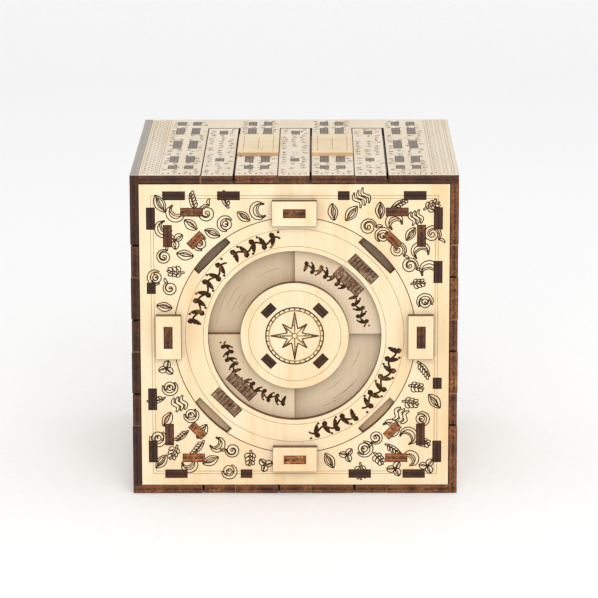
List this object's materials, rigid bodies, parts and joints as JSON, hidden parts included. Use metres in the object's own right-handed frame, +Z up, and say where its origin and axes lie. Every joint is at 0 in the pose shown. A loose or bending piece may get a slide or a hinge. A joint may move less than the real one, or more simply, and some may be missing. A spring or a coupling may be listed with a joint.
{
  "type": "cryptex puzzle cube",
  "caption": "Laser-cut plywood cryptex cube with a turning dial on its face, sliding strips in its sides, press tiles on top and a locked drawer behind.",
  "frame": {"origin": "middle of the bottom of the whole object's box, on the surface that the cube stands on, 1.5 mm in front of the point under the cube's centre because the box includes the keeper clips", "axes": "+Z up, -Y out of the dial face at the front, +Y out of the drawer at the back, +X to the right as seen from the front"},
  "size_m": [0.12, 0.123, 0.1212],
  "materials": {
    "engraved_birch": "bare birch plywood face, laser-engraved, with burnt cut edges",
    "burnt_edge_birch": "bare birch plywood seen mostly by its burnt laser-cut edges",
    "plain_birch": "bare birch plywood, not engraved, with burnt cut edges",
    "tile_birch": "bare birch plywood, warm, lightly browned edges"
  },
  "bodies": {
    "case": {"top_board": "engraved_birch", "right_board": "engraved_birch", "bottom_board": "engraved_birch", "left_board": "engraved_birch", "top_front_strips": "engraved_birch", "top_deck": "burnt_edge_birch", "right_deck": "burnt_edge_birch", "bottom_deck": "burnt_edge_birch", "left_deck": "burnt_edge_birch", "top_inner_wall": "burnt_edge_birch", "right_inner_wall": "burnt_edge_birch", "bottom_inner_wall": "burnt_edge_birch", "left_inner_wall": "burnt_edge_birch", "side_ribs": "burnt_edge_birch", "front_panel": "engraved_birch", "back_panel": "engraved_birch", "dial_seat": "plain_birch", "bulkhead": "plain_birch", "corner_gussets": "burnt_edge_birch", "keeper_clips": "engraved_birch", "drawer_rails": "plain_birch"},
    "dial": {"dial_ring": "engraved_birch", "dial_shutter": "plain_birch", "dial_base": "plain_birch", "gate_disc": "plain_birch", "hub_cap": "engraved_birch", "drive_blocks": "burnt_edge_birch", "dial_column": "burnt_edge_birch", "lock_spindle": "plain_birch", "lock_bar": "plain_birch"},
    "drawer": {"drawer_face": "engraved_birch", "drawer_sides": "plain_birch", "drawer_front_wall": "plain_birch", "drawer_floor": "plain_birch"},
    "left_tile": {"left_press_tile": "tile_birch"},
    "right_tile": {"right_press_tile": "tile_birch"},
    "top_left_slider": {"top_left_strip": "engraved_birch", "top_left_runner": "burnt_edge_birch"},
    "top_centre_slider": {"top_centre_strip": "engraved_birch", "top_centre_runner": "burnt_edge_birch"},
    "top_right_slider": {"top_right_strip": "engraved_birch", "top_right_runner": "burnt_edge_birch"},
    "right_upper_slider": {"right_upper_strip": "engraved_birch", "right_upper_runner": "burnt_edge_birch"},
    "right_centre_slider": {"right_centre_strip": "engraved_birch", "right_centre_runner": "burnt_edge_birch"},
    "right_lower_slider": {"right_lower_strip": "engraved_birch", "right_lower_runner": "burnt_edge_birch"},
    "bottom_right_slider": {"bottom_right_strip": "engraved_birch", "bottom_right_runner": "burnt_edge_birch"},
    "bottom_centre_slider": {"bottom_centre_strip": "engraved_birch", "bottom_centre_runner": "burnt_edge_birch"},
    "bottom_left_slider": {"bottom_left_strip": "engraved_birch", "bottom_left_runner": "burnt_edge_birch"},
    "left_lower_slider": {"left_lower_strip": "engraved_birch", "left_lower_runner": "burnt_edge_birch"},
    "left_centre_slider": {"left_centre_strip": "engraved_birch", "left_centre_runner": "burnt_edge_birch"},
    "left_upper_slider": {"left_upper_strip": "engraved_birch", "left_upper_runner": "burnt_edge_birch"}
  },
  "joints": [
    {"name": "dial_turn", "type": "hinge", "parent": "case", "child": "dial", "pos_m": [0, -0.0585, 0.06], "axis": [0, -1, 0], "range_deg": [-90, 90]},
    {"name": "drawer_slide", "type": "slide", "parent": "case", "child": "drawer", "axis": [0, 1, 0], "range_m": [0, 0.074]},
    {"name": "left_tile_press", "type": "slide", "parent": "case", "child": "left_tile", "axis": [0, 0, -1], "range_m": [0, 0.0011], "stiffness_N_per_m": 300, "springref_m": -0.001},
    {"name": "right_tile_press", "type": "slide", "parent": "case", "child": "right_tile", "axis": [0, 0, -1], "range_m": [0, 0.0011], "stiffness_N_per_m": 300, "springref_m": -0.001},
    {"name": "top_left_slide", "type": "slide", "parent": "case", "child": "top_left_slider", "axis": [0, -1, 0], "range_m": [0, 0.02]},
    {"name": "top_centre_slide", "type": "slide", "parent": "case", "child": "top_centre_slider", "axis": [0, -1, 0], "range_m": [0, 0.02]},
    {"name": "top_right_slide", "type": "slide", "parent": "case", "child": "top_right_slider", "axis": [0, -1, 0], "range_m": [0, 0.02]},
    {"name": "right_upper_slide", "type": "slide", "parent": "case", "child": "right_upper_slider", "axis": [0, -1, 0], "range_m": [0, 0.02]},
    {"name": "right_centre_slide", "type": "slide", "parent": "case", "child": "right_centre_slider", "axis": [0, -1, 0], "range_m": [0, 0.02]},
    {"name": "right_lower_slide", "type": "slide", "parent": "case", "child": "right_lower_slider", "axis": [0, -1, 0], "range_m": [0, 0.02]},
    {"name": "bottom_right_slide", "type": "slide", "parent": "case", "child": "bottom_right_slider", "axis": [0, -1, 0], "range_m": [0, 0.02]},
    {"name": "bottom_centre_slide", "type": "slide", "parent": "case", "child": "bottom_centre_slider", "axis": [0, -1, 0], "range_m": [0, 0.02]},
    {"name": "bottom_left_slide", "type": "slide", "parent": "case", "child": "bottom_left_slider", "axis": [0, -1, 0], "range_m": [0, 0.02]},
    {"name": "left_lower_slide", "type": "slide", "parent": "case", "child": "left_lower_slider", "axis": [0, -1, 0], "range_m": [0, 0.02]},
    {"name": "left_centre_slide", "type": "slide", "parent": "case", "child": "left_centre_slider", "axis": [0, -1, 0], "range_m": [0, 0.02]},
    {"name": "left_upper_slide", "type": "slide", "parent": "case", "child": "left_upper_slider", "axis": [0, -1, 0], "range_m": [0, 0.02]}
  ]
}
